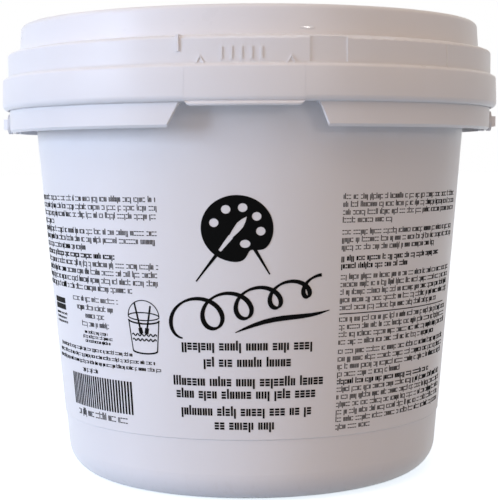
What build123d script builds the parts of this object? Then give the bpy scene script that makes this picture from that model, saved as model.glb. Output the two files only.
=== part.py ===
from build123d import *
import math
import os

# Brush cleaning bucket: a white moulded pail with a tear-strip lid, a snap-on bail and a wire
# scrubbing screen that stands on the floor of the pail.
# Sizes are in millimetres and angles in degrees. The origin is the centre of the base, on the
# standing plane. +Z is up and the front is at -Y. An azimuth is 0 at the front and grows to the right.

# Pail wall and floor
base_r = 78.0
wall_taper = 4.85
wall_t = 1.6
floor_t = 1.8
corner_r = 12.5
step_z = 25.0
step_w = 0.4

# Standing ring and ribs under the floor
foot_ring_w = 7.3
foot_slope = 0.8
foot_recess = 1.6
foot_rib_count = 8
foot_rib_t = 1.8
foot_hub_r = 9.0

# Skirt round the top of the pail
skirt_foot_z = 142.2
skirt_h = 9.65
skirt_inset = 2.65
skirt_draft = 2.0
skirt_t = 1.8
skirt_web_t = 1.6
skirt_rib_count = 24
skirt_rib_t = 1.2
skirt_rib_lift = 1.5
skirt_top_cut = 0.3
skirt_foot_cut = 1.0

# Cut-out in the skirt, where a finger reaches the pull tab
cutout_foot_left = -17.5
cutout_foot_right = 16.5
cutout_top_left = -14.0
cutout_top_right = 14.0
cutout_bevel = 0.5

# Upper ring and bead of the pail
ring_lift = 5.15
ring_t = 1.4
bead_w = 3.165
bead_h = 3.6
bead_slope = 2.0
bead_cut = 0.8

# Lid flange: the tear strip below, then two narrower bands
skirt_gap = 0.25
strip_step = 2.4
strip_h = 12.2
strip_t = 1.8
strip_ledge_t = 1.5
strip_draft = 0.2
strip_top_cut = 1.0
strip_foot_cut = 0.9
band_2_step = 5.0
band_2_h = 10.9
shoulder_drop = 1.0
shoulder_round = 1.2
band_1_draft = 0.7
band_1_h = 11.0
crown_round = 2.0
lid_t = 1.5
crown_t = 1.8

# Lid centre
panel_depth = 8.0
panel_t = 1.6
plug_draft = 3.0
plug_cut = 0.8
stack_ring_t = 2.0
stack_ring_h = 3.0
stack_ring_cut = 0.5
stack_rib_count = 16
stack_rib_t = 1.4
gate_r = 4.0
gate_h = 0.6

# Marks moulded in the second band
rib_azimuth = -14.6
rib_w = 1.2
rib_h = 6.0
rib_drop = 0.2
rib_proud = 0.7
patch_from = 12.2
patch_to = 20.2
patch_depth = 0.4
patch_margin = 0.9

# Pull tab, the free part of the tear strip
tab_from = -13.0
tab_to = 11.0
tab_gap = 0.06
tab_hinge_gap = 0.06
lip_drop = 1.4
lip_lap = 0.1
lip_cut = 0.4
lip_end_slope = 1.6

# Seal
seal_t = 1.6
seal_side_gap = 0.1

# Clearances
closure_clear = 0.35
stack_clear = 0.35
ring_clear = 0.5
pin_clear = 0.08
hub_clear = 0.3
bail_clear = 0.6
bail_loop_clear = 0.5

# Bail
bail_pin_r = 2.4
bail_hub_r = 4.2
bail_pivot_drop = 5.55
bail_strap_t = 1.5
bail_strap_h = 4.4
bail_jog_start = 3.0
bail_jog_run = 1.4
bail_bend_r = 60.0
bail_barb_r = 3.0
bail_barb_l = 2.0
bail_lead_in = 0.4
bail_slot_w = 1.0
bail_pad_t = 1.6
grip_t = 4.2
grip_h = 14.0
grip_half_l = 45.0
grip_taper_l = 10.0
grip_round = 1.2

# Scrubbing screen
screen_wall_gap = 5.9
screen_corner_gap = 0.35
screen_h = 50.0
frame_wire_r = 1.25
mesh_wire_r = 0.8
mesh_pitch = 8.0
post_r = 1.0
post_count = 24
weld_sink = 0.1
hoop_sides = 8
wire_sides = 8

# How far a cut runs past the face that it starts from, and how far two joined bodies run together
cut_margin = 1.0
join_overlap = 0.01

# Levels and radii that follow from the sizes above
skirt_top_z = skirt_foot_z + skirt_h
strip_foot_z = skirt_top_z + skirt_gap
strip_top_z = strip_foot_z + strip_h
band_1_foot_z = strip_top_z + band_2_h
lid_top_z = band_1_foot_z + band_1_h
crown_z = lid_top_z - crown_t
rim_z = crown_z - seal_t
panel_z = lid_top_z - panel_depth
ring_z = skirt_top_z + ring_lift
taper_slope = math.tan(math.radians(wall_taper))
corner_start_r = base_r - step_w - corner_r
foot_inner_r = corner_start_r - foot_ring_w - foot_slope
neck_r = base_r + taper_slope * skirt_top_z
neck_bore_r = neck_r - wall_t
bead_r = neck_r + bead_w
closure_r = bead_r + closure_clear
band_1_top_r = closure_r + lid_t
band_1_foot_r = band_1_top_r + band_1_draft
band_2_r = band_1_foot_r + band_2_step
strip_r = band_2_r + strip_step
skirt_r = strip_r - skirt_inset
ring_r = band_2_r - lid_t - ring_clear
plug_r = neck_bore_r - closure_clear
plug_wall_r = plug_r - lid_t
pivot_z = skirt_top_z - bail_pivot_drop
ear_inner_x = skirt_r - skirt_t - bail_pad_t
rib_top_z = band_1_foot_z - rib_drop
rib_outer_r = band_2_r + rib_proud
strip_reach = math.hypot(strip_r, strip_top_z - pivot_z)
rib_reach = math.hypot(rib_outer_r, rib_top_z - pivot_z)
bail_loop_r = max(strip_reach, rib_reach) + bail_loop_clear
screen_foot_z = floor_t + frame_wire_r
screen_top_z = floor_t + screen_h - frame_wire_r
screen_foot_r = corner_start_r - screen_corner_gap - frame_wire_r
screen_top_r = base_r + taper_slope * screen_top_z - wall_t - screen_wall_gap - frame_wire_r


def wall_outer(z):
    """Outer radius of the tapered wall at height z."""
    return base_r + taper_slope * z


def rounded_face(corners):
    """A closed face in the X-Z plane from (x, z, size) corners. A corner is rounded by that radius, or
    cut flat by that length where "flat" follows it."""
    points = [Vector(corner[0], 0, corner[1]) for corner in corners]
    joins = []
    for i, (_, _, size, *finish) in enumerate(corners):
        before = (points[i - 1] - points[i]).normalized()
        after = (points[(i + 1) % len(points)] - points[i]).normalized()
        if finish == ["flat"] or size == 0:
            joins.append((points[i] + before * size, points[i] + after * size, None))
            continue
        half = math.radians(before.get_angle(after)) / 2
        reach = size / math.tan(half)
        inward = (before + after).normalized()
        middle = points[i] + inward * (size / math.sin(half) - size)
        joins.append((points[i] + before * reach, points[i] + after * reach, middle))
    edges = []
    for i, (start, end, middle) in enumerate(joins):
        if middle is not None:
            edges.append(ThreePointArc(start, middle, end))
        elif start != end:
            edges.append(Line(start, end))
        edges.append(Line(end, joins[(i + 1) % len(joins)][0]))
    return make_face(edges)


def turned(corners):
    """A full revolve of rounded corners about the pail's axis."""
    return revolve(rounded_face(corners), Axis.Z)


def turned_part(corners, azimuth_from, azimuth_to):
    """A revolve between two azimuths."""
    face = Rot(0, 0, azimuth_from - 90) * rounded_face(corners)
    return revolve(face, Axis.Z, azimuth_to - azimuth_from)


def tube_ring(inner_r, outer_r, low_z, high_z):
    """A plain ring of rectangular section."""
    section = [(inner_r, low_z, 0), (outer_r, low_z, 0), (outer_r, high_z, 0), (inner_r, high_z, 0)]
    return turned(section)


def radial_ribs(count, inner_r, outer_r, low_z, high_z, thickness, first_azimuth):
    """Thin upright ribs that run outwards between two radii."""
    size = (outer_r - inner_r, thickness, high_z - low_z)
    centre = Pos((inner_r + outer_r) / 2, 0, (low_z + high_z) / 2)
    step = 360 / count
    return [Rot(0, 0, first_azimuth - 90 + i * step) * centre * Box(*size) for i in range(count)]


def front_prism(outline_points):
    """A prism that runs along Y through the front of the pail, from points in the X-Z plane."""
    face = make_face(Polyline(*[(x, 0, z) for x, z in outline_points], close=True))
    return extrude(face, amount=strip_r + cut_margin, dir=(0, -1, 0))


def pail_vessel():
    """Wall, floor with its gutter, neck and bead, turned in one piece."""
    low_r = base_r - step_w
    step_r = wall_outer(step_z)
    neck_top = rim_z - bead_h - bead_slope
    inner_low_r = low_r - wall_t + taper_slope * floor_t
    gutter_r = foot_inner_r + foot_slope + floor_t
    return turned([
        (0, foot_recess, 0),
        (foot_inner_r, foot_recess, 0),
        (foot_inner_r + foot_slope, 0, 0),
        (low_r, 0, corner_r),
        (step_r - step_w, step_z, 0),
        (step_r, step_z + step_w, 0),
        (neck_r, skirt_top_z, 0),
        (neck_r, neck_top, 0),
        (bead_r, rim_z - bead_h, bead_cut, "flat"),
        (bead_r, rim_z, bead_cut, "flat"),
        (neck_bore_r, rim_z, bead_cut, "flat"),
        (neck_bore_r, skirt_top_z, 0),
        (inner_low_r, floor_t, corner_r - wall_t),
        (gutter_r, floor_t, 0),
        (gutter_r - foot_slope, foot_recess + floor_t, 0),
        (0, foot_recess + floor_t, 0),
    ])


def pail_skirt():
    """Skirt that hangs from a web below the lid flange, with its inner ribs and the upper ring."""
    root_r = neck_r - wall_t / 2
    skirt_foot_r = skirt_r - math.tan(math.radians(skirt_draft)) * skirt_h
    web_z = skirt_top_z - skirt_web_t
    skirt = turned([
        (root_r, skirt_top_z, 0),
        (skirt_r, skirt_top_z, skirt_top_cut, "flat"),
        (skirt_foot_r, skirt_foot_z, skirt_foot_cut, "flat"),
        (skirt_foot_r - skirt_t, skirt_foot_z, 0),
        (skirt_r - skirt_t, web_z, 0),
        (root_r, web_z, 0),
    ])
    ring = tube_ring(root_r, ring_r, ring_z, ring_z + ring_t)
    half_step = 180 / skirt_rib_count
    rib_root_r = wall_outer(skirt_foot_z) - wall_t / 2
    rib_foot_z = skirt_foot_z + skirt_rib_lift
    lower = radial_ribs(skirt_rib_count, rib_root_r, skirt_foot_r - skirt_t / 2,
                        rib_foot_z, web_z + skirt_web_t / 2, skirt_rib_t, half_step)
    upper = radial_ribs(skirt_rib_count, root_r, ring_r - skirt_t,
                        skirt_top_z - skirt_web_t / 2, ring_z + ring_t / 2, skirt_rib_t, half_step)
    return skirt + ring + lower + upper


def skirt_cutout():
    """The opening in the front of the skirt, wider at its foot, that bares the wall behind it."""
    low_z = skirt_foot_z - cut_margin
    high_z = skirt_top_z + skirt_gap / 2
    outline = []
    for azimuth, z in ((cutout_foot_left, low_z), (cutout_foot_right, low_z),
                       (cutout_top_right, high_z), (cutout_top_left, high_z)):
        outline.append((skirt_r * math.sin(math.radians(azimuth)), z))
    return front_prism(outline)


def ear(side):
    """Pad and bore inside the skirt for one snap button of the bail."""
    pad_l = bail_pad_t + skirt_t / 2
    bore_l = 2 * (skirt_r - ear_inner_x + cut_margin)
    pad = Pos(side * (ear_inner_x + pad_l / 2), 0, pivot_z) * Rot(0, 90, 0)
    bore = Pos(side * skirt_r, 0, pivot_z) * Rot(0, 90, 0)
    return pad * Cylinder(bail_hub_r, pad_l), bore * Cylinder(bail_pin_r + pin_clear, bore_l)


def foot_ribs():
    """Radial ribs and a hub under the floor, level with the standing ring."""
    overlap = floor_t / 2
    ribs = radial_ribs(foot_rib_count, foot_hub_r / 2, foot_inner_r + overlap,
                       0, foot_recess + overlap, foot_rib_t, 0)
    hub = Pos(0, 0, (foot_recess + overlap) / 2) * Cylinder(foot_hub_r, foot_recess + overlap)
    return ribs, hub


def cutout_edges(skirt):
    """The two sloping outer edges that the cut-out leaves in the skirt."""
    edges = []
    for edge in skirt.edges():
        middle = edge.center()
        outer = math.hypot(middle.X, middle.Y) > skirt_r - skirt_t / 2
        upright = edge.bounding_box().size.Z > skirt_h / 2
        if outer and upright:
            edges.append(edge)
    return edges


def bucket_shell():
    """The moulded pail."""
    ribs, hub = foot_ribs()
    skirt = pail_skirt() - skirt_cutout()
    skirt = chamfer(cutout_edges(skirt), cutout_bevel)
    shell = pail_vessel() + skirt + ribs + hub
    for side in (-1, 1):
        pad, bore = ear(side)
        shell = shell + pad - bore
    return shell


def lid_shell():
    """Crown, two stepped bands, plug wall and recessed panel of the lid."""
    shoulder_r = band_2_r - lid_t
    shoulder_z = band_1_foot_z - shoulder_drop
    plug_foot_r = plug_r - math.tan(math.radians(plug_draft)) * panel_depth
    panel_foot_z = panel_z - panel_t
    body = turned([
        (band_1_top_r, lid_top_z, crown_round),
        (band_1_foot_r, band_1_foot_z, 0),
        (band_2_r, shoulder_z, shoulder_round),
        (band_2_r, strip_top_z, 0),
        (shoulder_r, strip_top_z, 0),
        (shoulder_r, shoulder_z - lid_t, 0),
        (closure_r, shoulder_z - lid_t, 0),
        (closure_r, crown_z, 0),
        (plug_r, crown_z, 0),
        (plug_foot_r, panel_foot_z, plug_cut, "flat"),
        (0, panel_foot_z, 0),
        (0, panel_z, 0),
        (plug_foot_r - lid_t, panel_z, 0),
        (plug_wall_r, lid_top_z, plug_cut, "flat"),
    ])
    return body


def lid_stack_ribs():
    """Ring and ribs on the panel that centre the foot of another pail."""
    foot_reach = base_r - corner_r + stack_clear
    ring_foot = panel_z - panel_t / 2
    ring_top = panel_z + stack_ring_h
    ring = turned([
        (foot_reach, ring_foot, 0),
        (foot_reach + stack_ring_t, ring_foot, 0),
        (foot_reach + stack_ring_t, ring_top, stack_ring_cut, "flat"),
        (foot_reach, ring_top, stack_ring_cut, "flat"),
    ])
    ribs = radial_ribs(stack_rib_count, foot_reach + stack_ring_t / 2, plug_wall_r - lid_t / 2,
                       ring_foot, ring_top - stack_ring_cut, stack_rib_t, 0)
    gate = Pos(0, 0, panel_z) * Cylinder(gate_r, 2 * gate_h)
    return ring, ribs, gate


def lid():
    """The lid without its tear strip, with the marks of its second band."""
    ring, ribs, gate = lid_stack_ribs()
    shell = lid_shell() + ring + ribs + gate
    rib_inner_r = band_1_foot_r - lid_t / 2
    mark = radial_ribs(1, rib_inner_r, rib_outer_r, rib_top_z - rib_h, rib_top_z, rib_w, rib_azimuth)
    patch = turned_part([
        (band_2_r - patch_depth, strip_top_z + patch_margin, 0),
        (band_2_r + patch_depth, strip_top_z + patch_margin, 0),
        (band_2_r + patch_depth, band_1_foot_z - shoulder_round, 0),
        (band_2_r - patch_depth, band_1_foot_z - shoulder_round, 0),
    ], patch_from, patch_to)
    hollow = tube_ring(closure_r, band_2_r - lid_t, strip_top_z, band_1_foot_z - shoulder_drop - lid_t)
    return shell + [piece - hollow for piece in mark] - patch


def strip_section(top_z):
    """Section of the tear strip: an upright band with a ledge that meets the second band."""
    ledge_r = band_2_r - lid_t
    return [
        (strip_r, strip_foot_z, strip_foot_cut, "flat"),
        (strip_r - strip_draft, top_z, strip_top_cut, "flat"),
        (ledge_r, top_z, 0),
        (ledge_r, top_z - strip_ledge_t, 0),
        (strip_r - strip_t, top_z - strip_ledge_t, 0),
        (strip_r - strip_t, strip_foot_z, 0),
    ]


def tear_strip():
    """The strip of the lid flange that is torn off, open where the pull tab stands."""
    gap = math.degrees(tab_gap / strip_r)
    return turned_part(strip_section(strip_top_z), tab_to + gap, tab_from - gap + 360)


def pull_tab():
    """The free end of the tear strip, with a lip below it for the finger and a groove between them."""
    tab = turned_part(strip_section(strip_top_z - tab_hinge_gap), tab_from, tab_to)
    lip_inner_r = strip_r - strip_t
    left = lip_inner_r * math.sin(math.radians(tab_from))
    right = lip_inner_r * math.sin(math.radians(tab_to))
    low_z = strip_foot_z - lip_drop
    high_z = strip_foot_z + lip_lap
    outline = [(left, high_z), (left, strip_foot_z), (left + lip_end_slope, low_z),
               (right - lip_end_slope, low_z), (right, strip_foot_z), (right, high_z)]
    bar = turned([
        (lip_inner_r, low_z, 0),
        (strip_r, low_z, lip_cut, "flat"),
        (strip_r, high_z, lip_cut, "flat"),
        (lip_inner_r, high_z, 0),
    ])
    return tab + (front_prism(outline) & bar)


def lid_seal():
    """Flat ring that is pressed between the crown of the lid and the bead of the pail."""
    return tube_ring(plug_r + seal_side_gap, closure_r - seal_side_gap, rim_z, crown_z)


def bail_line(offset):
    """Edges of the bail's plan, that far outside its inner face: arm, bend, loop, bend and arm. The bends
    are tangent to the straight arms and to the loop."""
    arm_x = strip_r + bail_clear
    bend_x = arm_x - bail_bend_r
    bend_y = math.sqrt((bail_loop_r - bail_bend_r) ** 2 - bend_x ** 2)
    turn = math.atan2(bend_y, bend_x)
    bend = bail_bend_r + offset
    loop = bail_loop_r + offset
    start = Vector(arm_x + offset, bail_jog_start + bail_jog_run)
    arm_end = Vector(arm_x + offset, bend_y)
    bend_middle = Vector(bend_x + bend * math.cos(turn / 2), bend_y + bend * math.sin(turn / 2))
    bend_end = Vector(loop * math.cos(turn), loop * math.sin(turn))
    right = [Line(start, arm_end), ThreePointArc(arm_end, bend_middle, bend_end)]
    left = [mirror(edge, Plane.YZ) for edge in right]
    back = ThreePointArc(bend_end, Vector(0, loop), Vector(-bend_end.X, bend_end.Y))
    return right + [back] + left


def bail_strap():
    """Flat strap of the bail from one jog round the back to the other."""
    inner_x = strip_r + bail_clear
    outer_x = inner_x + bail_strap_t
    start_y = bail_jog_start + bail_jog_run
    ends = [Line((side * inner_x, start_y), (side * outer_x, start_y)) for side in (-1, 1)]
    face = make_face(bail_line(0) + bail_line(bail_strap_t) + ends)
    return Pos(0, 0, pivot_z) * extrude(face, amount=bail_strap_h / 2, both=True)


def bail_jog(side, hub_x):
    """Hub at one end of the bail and the step that takes the strap outwards past the lid flange."""
    arm_x = strip_r + bail_clear
    jog_end = bail_jog_start + bail_jog_run
    arm_end = jog_end + join_overlap
    skew = bail_strap_t / 2
    points = [
        (hub_x, 0),
        (hub_x, bail_jog_start),
        (arm_x, jog_end),
        (arm_x, arm_end),
        (arm_x + bail_strap_t, arm_end),
        (arm_x + bail_strap_t, jog_end - skew),
        (hub_x + bail_strap_t, bail_jog_start - skew),
        (hub_x + bail_strap_t, 0),
    ]
    face = make_face(Polyline(*[(side * x, y) for x, y in points], close=True))
    arm = Pos(0, 0, pivot_z) * extrude(face, amount=bail_strap_h / 2, both=True)
    hub = Pos(side * (hub_x + bail_strap_t / 2), 0, pivot_z) * Rot(0, 90, 0)
    return arm + hub * Cylinder(bail_hub_r, bail_strap_t)


def bail_button(side, hub_x):
    """Split pin with a barb that snaps through the ear."""
    tip_x = ear_inner_x - hub_clear - bail_barb_l
    turn = Rot(0, 90, 0)
    pin_l = hub_x - tip_x + bail_strap_t / 2
    pin = Pos(side * (tip_x + pin_l / 2), 0, pivot_z) * turn * Cylinder(bail_pin_r, pin_l)
    cone = Cone(bail_barb_r, bail_pin_r - bail_lead_in, bail_barb_l)
    barb = Pos(side * (tip_x + bail_barb_l / 2), 0, pivot_z) * Rot(0, -90 * side, 0) * cone
    slot_l = ear_inner_x - tip_x + bail_pad_t
    slot = Pos(side * (tip_x + slot_l / 2), 0, pivot_z) * Box(slot_l, bail_slot_w, 3 * bail_barb_r)
    return pin + barb - slot


def bail_grip():
    """Thicker and deeper middle of the bail, tapered into the strap at both ends."""
    half_h = grip_h / 2
    low_h = bail_strap_h / 2
    inner_l = grip_half_l - grip_taper_l
    outline = [(-grip_half_l, low_h), (-inner_l, half_h), (inner_l, half_h), (grip_half_l, low_h),
               (grip_half_l, -low_h), (inner_l, -half_h), (-inner_l, -half_h), (-grip_half_l, -low_h)]
    face = make_face(Polyline(*[(x, 0, pivot_z + z) for x, z in outline], close=True))
    outer_r = bail_loop_r + grip_t
    block = extrude(face, amount=outer_r + cut_margin, dir=(0, 1, 0))
    ring = turned([
        (bail_loop_r, pivot_z - half_h, grip_round),
        (outer_r, pivot_z - half_h, grip_round),
        (outer_r, pivot_z + half_h, grip_round),
        (bail_loop_r, pivot_z + half_h, grip_round),
    ])
    return block & ring


def bail():
    """One-piece plastic bail, lying level behind the lid flange."""
    hub_x = skirt_r + hub_clear
    whole = bail_strap() + bail_grip()
    for side in (-1, 1):
        whole = whole + bail_jog(side, hub_x) + bail_button(side, hub_x)
    return whole


def hoop(radius, z, wire_r):
    """A closed ring of round wire, faceted round its section."""
    corners = []
    for i in range(hoop_sides):
        angle = 2 * math.pi * (i + 0.5) / hoop_sides
        corners.append((radius + wire_r * math.cos(angle), z + wire_r * math.sin(angle), 0))
    return turned(corners)


def straight_wire(start, end, wire_r):
    """A straight faceted wire between two points."""
    run = Vector(*end) - Vector(*start)
    plane = Plane(origin=start, z_dir=run)
    return extrude(plane * RegularPolygon(wire_r, wire_sides), amount=run.length)


def mesh_wires(direction, z):
    """One layer of parallel mesh wires, cut to the chord of the top hoop."""
    count = int((screen_top_r - frame_wire_r) / mesh_pitch)
    wires = []
    for i in range(-count, count + 1):
        across = i * mesh_pitch
        half = math.sqrt(screen_top_r ** 2 - across ** 2)
        if direction == "x":
            wires.append(straight_wire((-half, across, z), (half, across, z), mesh_wire_r))
        else:
            wires.append(straight_wire((across, -half, z), (across, half, z), mesh_wire_r))
    return wires


def post_radius(z):
    """Radius at which the side posts of the screen stand at height z."""
    share = (z - screen_foot_z) / (screen_top_z - screen_foot_z)
    return screen_foot_r + share * (screen_top_r - screen_foot_r)


def screen_posts():
    """Side wires of the screen, from the foot hoop to the top hoop."""
    step = 360 / post_count
    start = (screen_foot_r, 0, screen_foot_z)
    end = (screen_top_r, 0, screen_top_z)
    return [Rot(0, 0, (i + 0.5) * step) * straight_wire(start, end, post_r) for i in range(post_count)]


def screen_nodes():
    """The welded wire screen as its separate wires."""
    layer = mesh_wire_r - weld_sink / 2
    mid_z = (screen_foot_z + screen_top_z) / 2
    mid_r = post_radius(mid_z) + post_r + frame_wire_r - weld_sink
    return {
        "screen_top_hoop": hoop(screen_top_r, screen_top_z, frame_wire_r),
        "screen_mid_hoop": hoop(mid_r, mid_z, frame_wire_r),
        "screen_foot_hoop": hoop(screen_foot_r, screen_foot_z, frame_wire_r),
        "screen_posts": Compound(children=screen_posts()),
        "screen_warp_wires": Compound(children=mesh_wires("x", screen_top_z + layer)),
        "screen_weft_wires": Compound(children=mesh_wires("y", screen_top_z - layer)),
    }


nodes = {
    "bucket_shell": bucket_shell(),
    "lid": lid(),
    "lid_seal": lid_seal(),
    "tear_strip": tear_strip(),
    "pull_tab": pull_tab(),
    "bail": bail(),
    **screen_nodes(),
}

os.makedirs("parts", exist_ok=True)
for name, shape in nodes.items():
    export_step(shape, f"parts/{name}.step")
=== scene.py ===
import math
import random

import bmesh
import bpy
from mathutils import Matrix, Vector
from mathutils.geometry import tessellate_polygon


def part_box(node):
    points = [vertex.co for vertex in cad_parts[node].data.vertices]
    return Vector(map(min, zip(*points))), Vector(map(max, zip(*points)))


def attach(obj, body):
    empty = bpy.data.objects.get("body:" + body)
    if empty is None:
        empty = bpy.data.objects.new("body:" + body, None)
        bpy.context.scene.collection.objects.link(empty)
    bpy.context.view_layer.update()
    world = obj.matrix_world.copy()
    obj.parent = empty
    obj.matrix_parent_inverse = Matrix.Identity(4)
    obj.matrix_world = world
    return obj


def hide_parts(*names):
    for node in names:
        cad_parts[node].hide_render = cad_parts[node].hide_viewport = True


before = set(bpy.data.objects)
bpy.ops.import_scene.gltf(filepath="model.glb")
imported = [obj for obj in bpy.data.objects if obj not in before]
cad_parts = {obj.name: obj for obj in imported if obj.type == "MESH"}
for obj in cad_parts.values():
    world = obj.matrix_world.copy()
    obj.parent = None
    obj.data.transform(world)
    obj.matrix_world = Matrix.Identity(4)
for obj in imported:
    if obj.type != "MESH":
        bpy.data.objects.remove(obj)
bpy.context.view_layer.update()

# Brush cleaning bucket. Lengths are in metres and angles in degrees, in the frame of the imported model:
# the centre of the base is the origin, +Z is up, the front is at -Y, and an azimuth is 0 at the front
# and grows to the right.
MM = 0.001

# The tapered wall that carries the print, and the lid's second band that carries moulded marks
WALL_FOOT_R = 78.0 * MM
WALL_TAPER = 4.85
BAND_R = 101.6 * MM

# A film is drawn flat in millimetres, as if unrolled at one radius, and laid round the pail in steps of
# an angle. It reaches from its sink below the surface to its lift above it.
INK_R = 84.5
FILM_STEP = 1.5
INK_LIFT = 0.04
INK_SINK = 0.12
MOULD_LIFT = 0.35
MOULD_SINK = 0.15

# Small printed marks stand in word-like groups. Widths, gaps and reaches are shares of the height of a mark.
GROUP_SIZES = (2, 3, 4, 4, 5, 6, 7, 8)
MARK_KINDS = ("posts", "posts", "bars", "bars", "bars", "post", "mast", "drop")
MARK_WIDTH = 0.5
TITLE_WIDTH = 0.62
MARK_GAP = 0.16
GROUP_GAP = 0.55
MAST_REACH = 1.36
DROP_REACH = 0.36

# The lid's first band, and the flat polished bead on it
BAND_1_FOOT_R = 96.6 * MM
BAND_1_TOP_R = 95.9 * MM
BAND_1_FOOT_Z = 175.2 * MM
BEAD_AZIMUTH = 12.5
BEAD_Z = 177.5 * MM
BEAD_HALF_LENGTH = 3.0 * MM
BEAD_HALF_HEIGHT = 0.8 * MM
BEAD_PROUD = 0.09 * MM

# The plastic's white, its roughness on the pail and on the lid, and its share of a clear plastic's gloss
PLASTIC_WHITE = (0.80, 0.80, 0.815)
BODY_ROUGHNESS = 0.33
LID_ROUGHNESS = 0.31
PLASTIC_SPECULAR = 0.16

# Handling wear reaches this high above the floor
WEAR_HEIGHT = 14 * MM

# The camera of the photograph: its place, its pitch and roll, and its focal length in pixels
PHOTO_SIDE = 500
FOCAL_PX = 1345.7
CAMERA_AT = Vector((-0.4, -579.7, 130.0)) * MM
CAMERA_PITCH = -3.79
CAMERA_ROLL = 0.40
SENSOR = 36.0

# The wire screen: its side wires, the pitch of its mesh, and the steps of its round wires. A frame hoop has
# an eight-sided section, so its flats lie inside the round wire.
POST_COUNT = 24
POST_R = 1.0 * MM
MESH_PITCH = 8.0 * MM
WIRE_SIDES = 12
HOOP_STEPS = 120
HOOP_FLAT = math.cos(math.pi / 8)

# Weld blobs: how far one at a hoop stands out of its wire, the size of one in the mesh, and how flat they are
HOOP_WELD_SHARE = 1.08
HOOP_WELD_FLAT = 0.8
MESH_WELD_R = 0.95 * MM
MESH_WELD_FLAT = 0.55

# Sections of the tear strip and of its pull tab, in millimetres: the face, the top that blends into the
# second band, the rounded foot, and the lip under the tab with the groove above it
STRIP_FACE_R = 104.0
STRIP_TOP_R = 103.8
STRIP_TOP_Z = 164.3
STRIP_TOP_ROUND = 1.2
STRIP_FILLET = 0.9
STRIP_LEDGE_R = 100.1
STRIP_LEDGE_Z = 162.8
STRIP_INNER_R = 102.2
STRIP_FOOT_Z = 151.2
STRIP_FOOT_R = 101.8
STRIP_FOOT_RISE = 2.4
BAND_GAP = 0.03
TAB_FOOT_RISE = 1.8
TAB_FOOT_DEPTH = 1.1
GROOVE_Z = 151.4
LIP_Z = 150.4
LIP_HALF = 0.8
LIP_ROOT_R = 102.9
LIP_R = 103.75
LIP_END = 1.6

# Azimuths between which the pull tab lies, the gap at its ends, and the steps of a swept piece
TAB_FROM = -13.0
TAB_TO = 11.0
TAB_GAP = 0.012
SWEEP_STEP = 0.5

# Lamps stand this far from the middle of the object. Each has a name, azimuth, elevation, width, power and
# colour.
LAMP_REACH = 1.4
MIDDLE_Z = 0.1
LAMPS = (
    ("window", -64, 12, 0.6, 13.6, (0.63, 0.765, 1.0)),
    ("above", 0, 60, 0.9, 4.2, (1.0, 0.87, 0.79)),
    ("glint", 26, 12, 0.09, 0.9, (1.0, 0.97, 0.95)),
)

# The room's light, which way it comes from and its colour. The shares of a direction add up to one.
ROOM_LIGHT = (
    ((-1, 0, 0), (0.47, 0.32, 0.22)),
    ((1, 0, 0), (0.30, 0.21, 0.16)),
    ((0, -1, 0), (0.55, 0.30, 0.13)),
    ((0, 1, 0), (0.50, 0.485, 0.475)),
    ((0, 0, 1), (0.45, 0.43, 0.42)),
)

# The floor's height and half width, its colour to the light and to the camera, and its glow for the camera
FLOOR_Z = -0.0001
FLOOR_HALF = 12.0
FLOOR_BOUNCE = (0.52, 0.60, 0.70, 1)
FLOOR_SEEN = (0.60, 0.60, 0.60, 1)
FLOOR_GLOW = (0.76, 0.83, 0.89, 1)


def link(obj):
    """Puts a new object in the scene."""
    bpy.context.scene.collection.objects.link(obj)
    return obj


def mesh_object(name, bm, material, smooth=None):
    """A mesh object from a bmesh, shaded smooth below an edge angle where one is given."""
    bmesh.ops.recalc_face_normals(bm, faces=bm.faces)
    mesh = bpy.data.meshes.new(name)
    bm.to_mesh(mesh)
    bm.free()
    mesh.materials.append(material)
    if smooth is not None:
        mesh.shade_smooth()
        mesh.set_sharp_from_angle(angle=math.radians(smooth))
    return link(bpy.data.objects.new(name, mesh))


def wall_r(z):
    """Outer radius of the pail's wall at a height."""
    return WALL_FOOT_R + math.tan(math.radians(WALL_TAPER)) * z


def polar(radius, azimuth, z):
    """The point at that radius, azimuth and height."""
    turn = math.radians(azimuth)
    return Vector((radius * math.sin(turn), -radius * math.cos(turn), z))


def along(azimuth):
    """Distance along a flat film, in millimetres, at an azimuth."""
    return math.radians(azimuth) * INK_R


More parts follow.
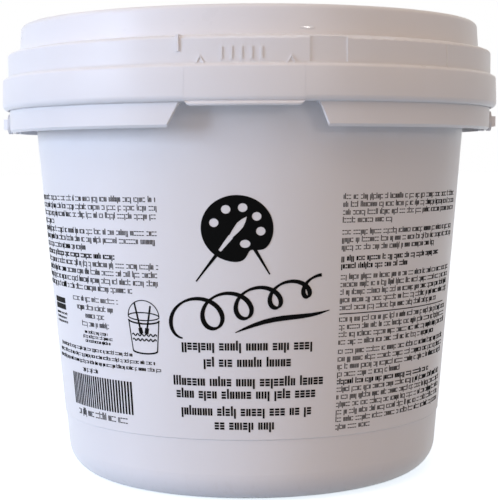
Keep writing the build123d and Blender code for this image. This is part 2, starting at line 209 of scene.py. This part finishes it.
class Film:
    """Thin raised shapes, drawn flat in millimetres along and up, and then laid round the pail."""

    def __init__(self, seed=0):
        self.bm = bmesh.new()
        self.random = random.Random(seed)

    def area(self, *loops):
        """A closed outline, and outlines of holes in it."""
        flat = [[Vector((x, z, 0)) for x, z in loop] for loop in loops]
        corners = [self.bm.verts.new((p.x, 0, p.y)) for loop in flat for p in loop]
        for triangle in tessellate_polygon(flat):
            self.bm.faces.new([corners[i] for i in triangle])

    def bar(self, x, z, width, height):
        """An upright rectangle from its lower left corner."""
        corners = ((x, z), (x + width, z), (x + width, z + height), (x, z + height))
        self.bm.faces.new([self.bm.verts.new((cx, 0, cz)) for cx, cz in corners])

    def ribbon(self, points, width, rise=0.0):
        """A line of varied width through points. It rises from its start to its end, to pass over itself."""
        last = len(points) - 1
        before = None
        for i, point in enumerate(points):
            run = (Vector(points[min(i + 1, last)]) - Vector(points[max(i - 1, 0)])).normalized()
            side = Vector((-run.y, run.x)) * (width(i / last, run) if callable(width) else width) / 2
            left, right = Vector(point) + side, Vector(point) - side
            pair = [self.bm.verts.new((p.x, rise * i / last, p.y)) for p in (left, right)]
            if before:
                self.bm.faces.new((before[0], before[1], pair[1], pair[0]))
            before = pair

    def row(self, start, end, z, height, weight, levels=2, wide=MARK_WIDTH):
        """A row of small upright and level marks between two azimuths, centred on a height."""
        x, end, foot = along(start), along(end), z - height / 2
        while True:
            for _ in range(self.random.choice(GROUP_SIZES)):
                kind = self.random.choice(MARK_KINDS)
                width = weight if kind in ("post", "mast", "drop") else height * wide
                if x + width > end:
                    return
                if kind == "bars":
                    for level in range(levels):
                        self.bar(x, foot + (height - weight) * level / (levels - 1), width, weight)
                elif kind == "posts":
                    self.bar(x, foot, weight, height)
                    self.bar(x + width - weight, foot, weight, height)
                elif kind == "mast":
                    self.bar(x, foot, weight, height * MAST_REACH)
                elif kind == "drop":
                    self.bar(x, foot - height * DROP_REACH, weight, height * (1 + DROP_REACH))
                else:
                    self.bar(x, foot, weight, height)
                x += width + height * MARK_GAP
            x += height * GROUP_GAP

    def lay(self, name, material, radius_at, lift, sink):
        """Closes the flat shapes into a film from sink below a turned surface to lift above it."""
        bm, step = self.bm, math.radians(FILM_STEP) * INK_R
        low, high = (pick(v.co.x for v in bm.verts) for pick in (min, max))
        for k in range(math.ceil(low / step), math.floor(high / step) + 1):
            parts = bm.verts[:] + bm.edges[:] + bm.faces[:]
            bmesh.ops.bisect_plane(bm, geom=parts, plane_co=(k * step, 0, 0), plane_no=(1, 0, 0))
        top = set(bm.verts)
        bmesh.ops.extrude_face_region(bm, geom=bm.faces[:], use_keep_orig=True)
        for v in bm.verts:
            proud = lift + v.co.y if v in top else -sink
            z = v.co.z * MM
            v.co = polar(radius_at(z) + proud * MM, math.degrees(v.co.x / INK_R), z)
        return mesh_object(name, bm, material)


class Nodes:
    """The node tree of a material or a world, with short calls to add and join its nodes."""

    def __init__(self, owner):
        owner.use_nodes = True
        self.owner = owner
        self.tree = owner.node_tree
        self.shader = self.tree.nodes.get("Principled BSDF")

    def add(self, kind, **values):
        """A node of a kind; a value that is another node's socket is joined to it."""
        node = self.tree.nodes.new("ShaderNode" + kind)
        for key, value in values.items():
            if key in node.bl_rna.properties and key not in node.inputs:
                setattr(node, key, value)
            else:
                self.put(node.inputs[key.replace("_", " ")], value)
        return node

    def put(self, socket, value):
        """Sets an input to a number or joins it to a socket."""
        if isinstance(value, bpy.types.NodeSocket):
            self.tree.links.new(value, socket)
        else:
            socket.default_value = value

    def noise(self, scale, detail=2.0, stretch=None, offset=0.0):
        """Noise in the frame's own coordinates, in features per metre, stretched along the axes."""
        place = self.add("TexCoord").outputs["Object"]
        mapping = self.add("Mapping", Vector=place)
        mapping.inputs["Scale"].default_value = stretch or (1, 1, 1)
        mapping.inputs["Location"].default_value = (offset, offset, offset)
        field = self.add("TexNoise", Vector=mapping.outputs["Vector"], Scale=scale, Detail=detail)
        return field.outputs["Fac"]

    def ramp(self, value, low, high, to_low=0.0, to_high=1.0):
        """Maps a value's range to another, held at the ends."""
        node = self.add("MapRange", Value=value)
        for key, number in zip(("From Min", "From Max", "To Min", "To Max"), (low, high, to_low, to_high)):
            node.inputs[key].default_value = number
        return node.outputs["Result"]

    def math(self, operation, a, b):
        """A sum, product or other operation of two values."""
        node = self.add("Math", operation=operation)
        self.put(node.inputs[0], a)
        self.put(node.inputs[1], b)
        return node.outputs[0]

    def mix(self, share, a, b):
        """A blend of two colours."""
        node = self.add("Mix", data_type="RGBA")
        self.put(node.inputs[0], share)
        self.put(node.inputs[6], a)
        self.put(node.inputs[7], b)
        return node.outputs[2]

    def seen(self):
        """One for the rays that show the background: from the camera, off gloss and through glass."""
        path = self.add("LightPath").outputs
        indirect = self.math("MAXIMUM", path["Is Glossy Ray"], path["Is Transmission Ray"])
        return self.math("MAXIMUM", path["Is Camera Ray"], indirect)

    def bumps(self, *layers):
        """Joins (height socket, depth in metres) layers into the shader's normal."""
        normal = None
        for height, depth in layers:
            node = self.add("Bump", Height=height, Distance=depth)
            if normal is not None:
                self.put(node.inputs["Normal"], normal)
            normal = node.outputs["Normal"]
        self.put(self.shader.inputs["Normal"], normal)


def white_plastic(name, tint, roughness, coat):
    """Semi-gloss moulded polyethylene with flow marks, orange peel and handling wear low on the pail."""
    n = Nodes(bpy.data.materials.new(name))
    flow = n.noise(26.0, 2.0, stretch=(1, 1, 0.25))
    cloud = n.noise(9.0, 3.0, offset=3.7)
    grain = n.noise(1500.0, 1.0)
    peel = n.noise(320.0, 2.0, offset=1.3)
    shade = n.ramp(n.math("ADD", n.math("MULTIPLY", flow, 0.5), n.math("MULTIPLY", cloud, 0.5)), 0.35, 0.65)
    darker = tuple(c * 0.955 for c in tint) + (1,)
    base = n.mix(shade, darker, tint + (1,))
    height = n.add("SeparateXYZ", Vector=n.add("TexCoord").outputs["Object"]).outputs["Z"]
    low = n.ramp(height, 0.0, WEAR_HEIGHT, 1.0, 0.0)
    scuff = n.ramp(n.noise(420.0, 5.0, stretch=(1, 1, 0.5), offset=7.1), 0.56, 0.76)
    worn = n.math("MULTIPLY", low, scuff)
    grime = (tint[0] * 0.92, tint[1] * 0.91, tint[2] * 0.89, 1)
    n.put(n.shader.inputs["Base Color"], n.mix(worn, base, grime))
    dull = n.ramp(n.noise(60.0, 4.0, offset=5.0), 0.3, 0.7, roughness - 0.04, roughness + 0.05)
    n.put(n.shader.inputs["Roughness"], n.math("ADD", dull, n.math("MULTIPLY", worn, 0.2)))
    n.shader.inputs["IOR"].default_value = 1.5
    n.shader.inputs["Specular IOR Level"].default_value = PLASTIC_SPECULAR
    n.shader.inputs["Coat Weight"].default_value = coat
    n.shader.inputs["Coat Roughness"].default_value = 0.09
    n.shader.inputs["Subsurface Weight"].default_value = 0.12
    n.shader.inputs["Subsurface Radius"].default_value = (1.0, 0.95, 0.9)
    n.shader.inputs["Subsurface Scale"].default_value = 2.0 * MM
    n.bumps((cloud, 0.18 * MM), (flow, 0.12 * MM), (peel, 0.02 * MM), (grain, 0.004 * MM))
    return n.owner


def foam_rubber():
    """Matt grey foam rubber with fine open pores, whose hollows are darkened by painted shade."""
    n = Nodes(bpy.data.materials.new("foam_rubber"))
    pores = n.add("TexVoronoi", Vector=n.add("TexCoord").outputs["Object"], Scale=1400.0).outputs["Distance"]
    pore_height_and_shade = n.ramp(pores, 0.1, 0.45)
    # Painted shade: the base colour is darker at the centre of each pore, where the bump sinks the surface.
    n.put(n.shader.inputs["Base Color"], n.mix(pore_height_and_shade, (0.30, 0.31, 0.33, 1), (0.55, 0.56, 0.58, 1)))
    n.put(n.shader.inputs["Roughness"], n.ramp(pore_height_and_shade, 0.0, 1.0, 0.95, 0.8))
    n.bumps((pore_height_and_shade, 0.12 * MM))
    return n.owner


def zinc_wire():
    """Drawn steel wire with a dull zinc plate: fine draw lines, spangle and a little white bloom."""
    n = Nodes(bpy.data.materials.new("zinc_wire"))
    spangle = n.noise(700.0, 3.0)
    bloom = n.ramp(n.noise(140.0, 4.0, offset=2.0), 0.58, 0.75)
    metal = n.mix(n.ramp(spangle, 0.3, 0.7), (0.50, 0.51, 0.53, 1), (0.70, 0.71, 0.72, 1))
    n.put(n.shader.inputs["Base Color"], n.mix(bloom, metal, (0.74, 0.74, 0.72, 1)))
    n.put(n.shader.inputs["Metallic"], n.ramp(bloom, 0.0, 1.0, 1.0, 0.55))
    n.put(n.shader.inputs["Roughness"], n.ramp(spangle, 0.2, 0.8, 0.28, 0.5))
    n.bumps((spangle, 0.02 * MM), (n.noise(2600.0, 1.0), 0.01 * MM))
    return n.owner


def printing_ink():
    """Black screen-printing ink, slightly raised and mottled, with a satin face."""
    n = Nodes(bpy.data.materials.new("printing_ink"))
    mottle = n.noise(1800.0, 3.0)
    n.put(n.shader.inputs["Base Color"], n.mix(mottle, (0.001, 0.001, 0.001, 1), (0.003, 0.003, 0.003, 1)))
    n.put(n.shader.inputs["Roughness"], n.ramp(mottle, 0.3, 0.7, 0.5, 0.65))
    n.shader.inputs["Specular IOR Level"].default_value = 0.04
    n.bumps((mottle, 0.01 * MM))
    return n.owner


def bend(centre, half_width, half_height, start, end, count=8):
    """Points of an elliptical arc, both of its ends included."""
    turns = [math.radians(start + (end - start) * i / count) for i in range(count + 1)]
    return [(centre[0] + half_width * math.cos(t), centre[1] + half_height * math.sin(t)) for t in turns]


def ring(centre, half_width, half_height, count=40):
    """Points of an ellipse."""
    return bend(centre, half_width, half_height, 0, 360, count)[:-1]


def print_on(film, name):
    """Lays a film of ink on the pail's wall."""
    piece = film.lay(name, ink, wall_r, INK_LIFT, INK_SINK)
    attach(piece, "bucket")


def print_emblem():
    """A round black palette with two brushes. One turns from black to white where it crosses the edge."""
    film = Film()
    cx, cz = -4.9, 105.2
    half_w, half_h = 13.1, 12.4
    # The palette, with a notch at its edge, five wells and a thumb hole
    outline = []
    for x, z in ring((0, 0), 1, 1, 72):
        notch = 1 - 0.26 * math.exp(-(math.atan2(z, x) + 1.05) ** 2 / 0.07)
        outline.append((cx + half_w * x * notch, cz + half_h * z * notch))
    wells = []
    for turn in (-0.12, 0.6, 1.32, 2.04, 2.86):
        wells.append(ring((cx + 8.6 * math.cos(turn), cz + 8.0 * math.sin(turn)), 1.7, 1.6, 20))
    thumb = ring((cx + 2.9, cz - 5.6), 1.9, 1.5, 24)
    # The brush that lies on it: its head is left bare, and the rest of its handle is black. The pairs give
    # the distance along the head and its half width.
    lean = Vector((0.62, 0.785))
    side = Vector((-lean.y, lean.x))
    foot = Vector((cx - 6.4, cz - 8.2))
    shape = ((0, 0.55), (6.6, 0.95), (7.0, 0.75), (9.6, 1.15), (12.2, 1.35), (14.4, 0.8), (16.2, 0.0))
    left = [foot + lean * a + side * w for a, w in shape]
    right = [foot + lean * a - side * w for a, w in reversed(shape[:-1])]
    film.area(outline, [tuple(p) for p in left + right], thumb, *wells)
    film.ribbon([foot - lean * (1.6 + i) for i in range(14)], lambda share, run: 1.3 - 0.8 * share)
    # The brush behind it, of which only the handle shows
    far_lean = Vector((-0.5, 0.866))
    tail = Vector((cx + 11.8, cz - 17.0))
    film.ribbon([tail + far_lean * i for i in range(12)], lambda share, run: 0.5 + 0.8 * share, 0.03)
    print_on(film, "print_emblem")


def print_flourish():
    """A brush flourish that rises to the right in loops, each smaller than the one before."""
    film = Film()
    loops, steps = 4.5, 180
    start_x, length = -26.5, 53.0
    start_z, climb = 71.0, 13.5
    points = []
    for i in range(steps + 1):
        share = i / steps
        turn = 2 * math.pi * loops * share
        size = 7.8 - 4.4 * share
        x = start_x + length * share - size * 0.95 * math.sin(turn)
        points.append((x, start_z + climb * share - size * math.cos(turn) * 0.9))
    film.ribbon(points, pen_width, 0.04)
    dash = [(-6.0 + 3.6 * i, 66.4 + 0.9 * i + 1.3 * math.sin(0.5 * i)) for i in range(11)]
    film.ribbon(dash, lambda share, run: 0.25 + 1.7 * math.sin(math.pi * share) ** 0.7)
    print_on(film, "print_flourish")


def pen_width(share, run):
    """Width of a stroke by a flat pen, thin at its start."""
    return (0.85 + 0.95 * abs(run.x * 0.5 - run.y * 0.866)) * min(1, 0.4 + 12 * share)


def print_titles():
    """Six centred rows of bold marks, each given by the azimuths of its ends and its height on the pail."""
    film = Film(11)
    height, weight = 2.75, 0.72
    rows = (
        (-18.3, 17.0, 61.0),
        (-12.5, 11.0, 54.8),
        (-21.0, 19.6, 47.4),
        (-20.3, 18.5, 42.6),
        (-19.1, 16.9, 36.0),
        (-10.0, 8.0, 30.7),
    )
    for start, end, z in rows:
        film.row(start, end, z, height, weight, levels=3, wide=TITLE_WIDTH)
    print_on(film, "print_titles")


def print_left():
    """The rows of small marks left of the middle: one even column with a bold row, and three small groups."""
    film = Film(5)
    start, full = -79, -23.5
    ends = (full, full, full, -66, full, full, -48, -37, full, full, full, -31.4)
    top, pitch, height = 115.8, 3.17, 1.7
    bold_row, bold, fine = 7, 0.48, 0.31
    for k, end in enumerate(ends):
        film.row(start, end, top - pitch * k, height, bold if k == bold_row else fine)
    # A group has the height and the weight of its marks, and for each row its ends and its height on the pail
    groups = (
        (1.6, 0.25, ((-57, -37, 76.3), (-55, -39, 72.9), (-51, -42, 69.7), (-53, -40.5, 66.4))),
        (0.95, 0.22, ((-52, -41.5, 63.2), (-53, -40, 61.4), (-52, -41, 59.6))),
        (1.1, 0.26, ((-70, -33, 56.2), (-72, -26, 53.6), (-73, -24.3, 51.0))),
    )
    for height, weight, rows in groups:
        for left, right, z in rows:
            film.row(left, right, z, height, weight)
    print_on(film, "print_left_column")


def print_block():
    """A block of even stripes, a black label and the marks that go with them."""
    film = Film(3)
    stripes, pitch, width, height = 26, 1.6, 0.85, 13.0
    for i in range(stripes):
        film.bar(along(-62) + pitch * i, 32.6, width, height)
    film.row(-55, -46.5, 47.7, 1.3, 0.25)
    film.row(-60, -36, 29.8, 2.1, 0.35)
    label_left, label_width = along(-72.5), along(-63) - along(-72.5)
    for z in (70.4, 73.0):
        film.bar(label_left, z, label_width, 2.2)
    for z in (68.7, 67.0, 65.3):
        film.row(-72.5, -62.5, z, 0.7, 0.2)
    print_on(film, "print_stripes")


def print_right():
    """The rows of small marks right of the middle, and the rule between them."""
    film = Film(8)
    start, full = 23.2, 72
    pitch, height, bold, fine = 2.92, 1.6, 0.46, 0.3
    # Each block has its top, the number of bold rows that it starts with, and where its rows end
    blocks = (
        (116.4, 0, (full, full, full, 39)),
        (103.2, 0, (full, full, 58)),
        (93.3, 2, (61, 46)),
        (86.3, 0, (full, full, full, full, 62)),
        (70.2, 0, (full, full, full, 62)),
        (57.9, 0, (full, full, full, 45)),
        (46.2, 1, (61, full, full, full, full, full, 35)),
    )
    for top, bold_rows, ends in blocks:
        for k, end in enumerate(ends):
            film.row(start, end, top - pitch * k, height, bold if k < bold_rows else fine)
    film.bar(along(start), 72.2, along(69) - along(start), 0.35)
    print_on(film, "print_right_column")


def print_drawing():
    """A small line drawing of an open pail with two brushes standing in it."""
    film = Film(2)
    cx, rim_z, foot_z, half_w, half_foot = along(-29.1), 71.5, 58.4, 7.0, 5.6

    def line(points, width=0.42):
        film.ribbon(points, width)

    # The rim, the near halves of the bead and the foot, the sides and the bail
    arc = [math.pi * i / 24 for i in range(49)]
    line([(cx + half_w * math.cos(t), rim_z + 1.5 * math.sin(t)) for t in arc])
    line([(cx + half_w * math.cos(t), rim_z - 1.3 + 1.5 * math.sin(t)) for t in arc[24:]], 0.6)
    line([(cx + half_foot * math.cos(t), foot_z + 1.2 * math.sin(t)) for t in arc[24:]], 0.6)
    line([(cx - half_w + 0.1, rim_z - 1.3), (cx - half_foot, foot_z)])
    line([(cx + half_w - 0.1, rim_z - 1.3), (cx + half_foot, foot_z)])
    line([(cx + half_w * math.cos(t), rim_z + 6.2 * math.sin(t)) for t in arc[:25]], 0.35)
    # The surface of the fluid, and the two brushes
    ripple = [(cx - 5.6 + 0.45 * i, 64.4 + 0.45 * math.sin(1.4 * i)) for i in range(26)]
    line(ripple, 0.5)
    line([(x * 0.96 + cx * 0.04, z - 1.9) for x, z in ripple], 0.5)
    for lean, top in ((-3.8, 5.3), (3.4, 4.2)):
        line([(cx + lean, rim_z + top), (cx + lean * 0.45, rim_z - 4.5)], 0.7)
        line([(cx + lean * 0.45, rim_z - 4.4), (cx + lean * 0.32, rim_z - 6.6)], 1.7)
    print_on(film, "print_drawing")


def add_print():
    """Everything that is printed on the pail. It holds no letters and no digits."""
    print_emblem()
    print_flourish()
    print_titles()
    print_left()
    print_block()
    print_right()
    print_drawing()


def add_moulded_marks():
    """Two chevrons with short bars between them, and a fine line, raised on the lid's second band."""
    film = Film()
    foot_z, tip_z, half_w = 164.7, 167.2, 1.2
    for azimuth in (-10.0, 8.4):
        x = along(azimuth)
        film.ribbon([(x - half_w, foot_z), (x, tip_z), (x + half_w, foot_z)], 0.55)
    width, height = 0.6, 4.4
    for azimuth in (-5.6, -3.6, -1.6, 0.4, 2.4):
        film.bar(along(azimuth) - width / 2, 166.0, width, height)
    film.bar(along(47.0), 164.6, 0.4, 8.6)
    piece = film.lay("lid_moulded_marks", lid_plastic, lambda z: BAND_R, MOULD_LIFT, MOULD_SINK)
    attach(piece, "lid")


def add_polished_bead():
    """A flat moulded bead on the lid's first band, polished, so that it takes a glint."""
    lid_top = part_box("lid")[1].z
    slope = (BAND_1_FOOT_R - BAND_1_TOP_R) / (lid_top - BAND_1_FOOT_Z)
    centre = polar(BAND_1_FOOT_R - slope * (BEAD_Z - BAND_1_FOOT_Z), BEAD_AZIMUTH, BEAD_Z)
    turn = Matrix.Rotation(math.radians(BEAD_AZIMUTH), 4, "Z")
    size = Matrix.Diagonal((BEAD_HALF_LENGTH, BEAD_PROUD, BEAD_HALF_HEIGHT, 1))
    shape = Matrix.Translation(centre) @ turn @ size
    bm = bmesh.new()
    bmesh.ops.create_icosphere(bm, subdivisions=4, radius=1.0, matrix=shape)
    polished = white_plastic("white_plastic_polished", PLASTIC_WHITE, LID_ROUGHNESS, 1.0)
    piece = mesh_object("lid_polished_bead", bm, polished, smooth=60)
    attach(piece, "lid")


def strip_head():
    """Corners of the strip's section from its inner side over its top to the face."""
    ledge = [(STRIP_INNER_R, STRIP_LEDGE_Z), (STRIP_LEDGE_R, STRIP_LEDGE_Z), (STRIP_LEDGE_R, STRIP_TOP_Z)]
    band = (BAND_R / MM + BAND_GAP, STRIP_TOP_Z)
    fillet_centre = (band[0] + STRIP_FILLET, STRIP_TOP_Z + STRIP_FILLET)
    fillet = bend(fillet_centre, STRIP_FILLET, STRIP_FILLET, 180, 270, 6)
    edge_centre = (STRIP_TOP_R - STRIP_TOP_ROUND, STRIP_TOP_Z - STRIP_TOP_ROUND)
    edge = bend(edge_centre, STRIP_TOP_ROUND, STRIP_TOP_ROUND, 84, 0)
    return ledge + [band] + fillet + edge


def strip_section(azimuth):
    """Section of the strip, whose rounded foot curls in over the top edge of the skirt."""
    foot_top = STRIP_FOOT_Z + STRIP_FOOT_RISE
    foot = bend((STRIP_FOOT_R, foot_top), STRIP_FACE_R - STRIP_FOOT_R, STRIP_FOOT_RISE, 0, -90)
    return strip_head() + foot + [(STRIP_INNER_R, foot_top)]


def tab_section(azimuth):
    """Section of the pull tab: a rounded foot, a groove and a slim lip that fades out at both ends."""
    groove_r = STRIP_FACE_R - TAB_FOOT_DEPTH
    foot = bend((groove_r, GROOVE_Z + TAB_FOOT_RISE), TAB_FOOT_DEPTH, TAB_FOOT_RISE - 0.1, 0, -80)
    lip = bend((LIP_ROOT_R, LIP_Z), LIP_R - LIP_ROOT_R, LIP_HALF, 75, -90)
    lip.append((STRIP_INNER_R, LIP_Z - LIP_HALF))
    end = min(azimuth - TAB_FROM, TAB_TO - azimuth)
    reach = min(1.0, math.radians(end) * STRIP_FACE_R / LIP_END) ** 0.5
    faded = [(r, GROOVE_Z - (GROOVE_Z - z) * max(reach, 0.05)) for r, z in lip]
    return strip_head() + foot + [(groove_r, GROOVE_Z)] + faded


def swept(name, body, section_at, start, end):
    """A closed piece of lid plastic, with its section carried round between two azimuths."""
    bm = bmesh.new()
    steps = round((end - start) / SWEEP_STEP)
    rows = []
    for i in range(steps + 1):
        azimuth = start + (end - start) * i / steps
        rows.append([bm.verts.new(polar(r * MM, azimuth, z * MM)) for r, z in section_at(azimuth)])
    for before, after in zip(rows, rows[1:]):
        for k in range(len(before)):
            j = (k + 1) % len(before)
            bm.faces.new((before[k], before[j], after[j], after[k]))
    bm.faces.new(rows[0])
    bm.faces.new(rows[-1])
    piece = mesh_object(name + "_rounded", bm, lid_plastic, smooth=32)
    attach(piece, body)
    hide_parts(name)


def add_closure():
    """The tear strip and its pull tab, with the soft edges of the moulding."""
    swept("tear_strip", "lid", strip_section, TAB_TO + TAB_GAP, TAB_FROM - TAB_GAP + 360)
    swept("pull_tab", "pull_tab", tab_section, TAB_FROM, TAB_TO)


def lathe(bm, start, run, profile):
    """A turned wire from start along run, from (distance, radius) pairs, with both ends closed."""
    axis = run.normalized()
    across = axis.orthogonal().normalized()
    other = axis.cross(across)
    before = None
    for distance, radius in profile:
        centre = start + axis * distance
        loop = []
        for i in range(WIRE_SIDES):
            turn = 2 * math.pi * i / WIRE_SIDES
            loop.append(bm.verts.new(centre + (across * math.cos(turn) + other * math.sin(turn)) * radius))
        if before is None:
            bm.faces.new(loop)
        else:
            for i in range(WIRE_SIDES):
                j = (i + 1) % WIRE_SIDES
                bm.faces.new((before[i], before[j], loop[j], loop[i]))
        before = loop
    bm.faces.new(before)


def straight_wire(bm, start, end, radius):
    """A cut length of round wire with its end burrs taken off."""
    length = (end - start).length
    cut = radius * 0.3
    profile = ((0, radius - cut), (cut, radius), (length - cut, radius), (length, radius - cut))
    lathe(bm, start, end - start, profile)


def hoop_wire(bm, radius, z, wire_r):
    """A closed ring of round wire."""
    turns = [2 * math.pi * k / WIRE_SIDES for k in range(WIRE_SIDES)]
    section = [(radius + wire_r * math.cos(t), z + wire_r * math.sin(t)) for t in turns]
    rows = []
    for i in range(HOOP_STEPS):
        azimuth = 360 * i / HOOP_STEPS
        rows.append([bm.verts.new(polar(r, azimuth, height)) for r, height in section])
    for i, row in enumerate(rows):
        after = rows[(i + 1) % HOOP_STEPS]
        for k in range(WIRE_SIDES):
            j = (k + 1) % WIRE_SIDES
            bm.faces.new((row[k], row[j], after[j], after[k]))


def weld(bm, centre, radius, flat):
    """A small squeezed blob of weld metal where two wires cross."""
    matrix = Matrix.Translation(centre) @ Matrix.Diagonal((1, 1, flat, 1))
    bmesh.ops.create_icosphere(bm, subdivisions=2, radius=radius, matrix=matrix)


def side_wires(hoops):
    """The screen's upright wires, welded to its three hoops."""
    top_r, top_z, top_wire = hoops["screen_top_hoop"]
    mid_r, mid_z, mid_wire = hoops["screen_mid_hoop"]
    foot_r, foot_z, foot_wire = hoops["screen_foot_hoop"]
    bm = bmesh.new()
    for i in range(POST_COUNT):
        azimuth = 90 - (i + 0.5) * 360 / POST_COUNT
        foot = polar(foot_r, azimuth, foot_z)
        middle = polar(mid_r - mid_wire, azimuth, mid_z)
        top = polar(top_r, azimuth, top_z)
        straight_wire(bm, foot, top, POST_R)
        for at, wire_r in ((foot, foot_wire), (top, top_wire), (middle, mid_wire)):
            weld(bm, at, wire_r * HOOP_WELD_SHARE, HOOP_WELD_FLAT)
    return bm


def mesh_wires(node_name, along_x, top_r, lines):
    """One layer of the screen's mesh, with each wire cut off at the top hoop."""
    low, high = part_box(node_name)
    z, wire_r = (low.z + high.z) / 2, (high.z - low.z) / 2
    bm = bmesh.new()
    for across in lines:
        half = math.sqrt(top_r ** 2 - across ** 2)
        start, end = (Vector((sign * half, across, z)) for sign in (-1, 1))
        if not along_x:
            start, end = (Vector((p.y, p.x, p.z)) for p in (start, end))
        straight_wire(bm, start, end, wire_r)
    return bm


def add_screen():
    """The welded wire screen, in round wire that fits the frame's own hoops."""
    made = {}
    hoops = {}
    for node_name in ("screen_top_hoop", "screen_mid_hoop", "screen_foot_hoop"):
        low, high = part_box(node_name)
        wire_r = (high.z - low.z) / 2 / HOOP_FLAT
        hoops[node_name] = (high.y - wire_r * HOOP_FLAT, (high.z + low.z) / 2, wire_r)
        made[node_name] = bmesh.new()
        hoop_wire(made[node_name], *hoops[node_name])
    made["screen_posts"] = side_wires(hoops)
    top_r, _, top_wire = hoops["screen_top_hoop"]
    clear_r = top_r - top_wire
    count = int(clear_r / MESH_PITCH)
    lines = [i * MESH_PITCH for i in range(-count, count + 1)]
    for node_name, along_x in (("screen_warp_wires", True), ("screen_weft_wires", False)):
        made[node_name] = mesh_wires(node_name, along_x, top_r, lines)
    weld_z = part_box("screen_weft_wires")[1].z
    for x in lines:
        for y in lines:
            spot = Vector((x, y, weld_z))
            if spot.xy.length < clear_r:
                weld(made["screen_warp_wires"], spot, MESH_WELD_R, MESH_WELD_FLAT)
    for node_name, bm in made.items():
        piece = mesh_object(node_name + "_round", bm, zinc, smooth=50)
        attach(piece, "screen")
        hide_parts(node_name)


def add_camera():
    """The photograph's camera."""
    data = bpy.data.cameras.new("camera")
    data.sensor_width = SENSOR
    data.lens = FOCAL_PX * SENSOR / PHOTO_SIDE
    camera = link(bpy.data.objects.new("camera", data))
    camera.location = CAMERA_AT
    camera.rotation_euler = (math.radians(90 + CAMERA_PITCH), math.radians(CAMERA_ROLL), 0)
    bpy.context.scene.camera = camera


def area_light(name, azimuth, elevation, size, power, colour):
    """A soft square lamp on a sphere round the object, turned towards its middle."""
    data = bpy.data.lights.new(name, "AREA")
    data.shape = "SQUARE"
    data.size = size
    data.energy = power
    data.color = colour
    lamp = link(bpy.data.objects.new(name, data))
    flat = LAMP_REACH * math.cos(math.radians(elevation))
    lamp.location = polar(flat, azimuth, MIDDLE_Z + LAMP_REACH * math.sin(math.radians(elevation)))
    aim = Vector((0, 0, MIDDLE_Z)) - lamp.location
    lamp.rotation_euler = aim.to_track_quat("-Z", "Y").to_euler()


def add_lights():
    """Cool daylight from the left, a soft lamp above and a small lamp that gives the lid its glint."""
    for lamp in LAMPS:
        area_light(*lamp)


def white_world():
    """Room light that differs with its direction. The background itself is seen as pure white."""
    world = bpy.data.worlds.new("world")
    bpy.context.scene.world = world
    n = Nodes(world)
    direction = n.add("TexCoord").outputs["Generated"]
    light = None
    for towards, colour in ROOM_LIGHT:
        dot = n.add("VectorMath", operation="DOT_PRODUCT")
        n.put(dot.inputs[0], direction)
        n.put(dot.inputs[1], towards)
        share = n.math("POWER", n.math("MAXIMUM", dot.outputs["Value"], 0.0), 2.0)
        lobe = n.add("VectorMath", operation="SCALE", Scale=share)
        n.put(lobe.inputs[0], colour)
        if light is None:
            light = lobe.outputs["Vector"]
        else:
            total = n.add("VectorMath", operation="ADD")
            n.put(total.inputs[0], light)
            n.put(total.inputs[1], lobe.outputs["Vector"])
            light = total.outputs["Vector"]
    room = n.tree.nodes["Background"]
    n.put(room.inputs["Color"], light)
    white = n.add("Background", Color=(1, 1, 1, 1))
    shown = n.add("MixShader")
    for socket, value in zip(shown.inputs, (n.seen(), room.outputs[0], white.outputs[0])):
        n.put(socket, value)
    n.put(n.tree.nodes["World Output"].inputs["Surface"], shown.outputs[0])


def add_floor():
    """A plain pale floor, seen as white except where the object's shadow falls on it."""
    bm = bmesh.new()
    bmesh.ops.create_grid(bm, x_segments=1, y_segments=1, size=FLOOR_HALF)
    n = Nodes(bpy.data.materials.new("floor_white"))
    seen = n.seen()
    n.put(n.shader.inputs["Base Color"], n.mix(seen, FLOOR_BOUNCE, FLOOR_SEEN))
    n.put(n.shader.inputs["Roughness"], n.ramp(n.noise(3.0), 0.3, 0.7, 0.85, 0.95))
    n.shader.inputs["Specular IOR Level"].default_value = 0.0
    n.put(n.shader.inputs["Emission Color"], FLOOR_GLOW)
    n.put(n.shader.inputs["Emission Strength"], seen)
    floor = mesh_object("floor", bm, n.owner)
    floor.location.z = FLOOR_Z


bpy.context.scene.view_settings.view_transform = "Standard"
plastic = white_plastic("white_plastic_body", PLASTIC_WHITE, BODY_ROUGHNESS, 0.0)
lid_plastic = white_plastic("white_plastic_lid", PLASTIC_WHITE, LID_ROUGHNESS, 0.0)
finishes = {
    "bucket_shell": plastic,
    "lid": lid_plastic,
    "tear_strip": lid_plastic,
    "pull_tab": lid_plastic,
    "bail": plastic,
    "lid_seal": foam_rubber(),
}
zinc = zinc_wire()
for node_name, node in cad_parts.items():
    node.material_slots[0].material = finishes.get(node_name, zinc)

ink = printing_ink()
add_print()
add_moulded_marks()
add_closure()
add_polished_bead()
add_screen()

add_camera()
add_lights()
white_world()
add_floor()
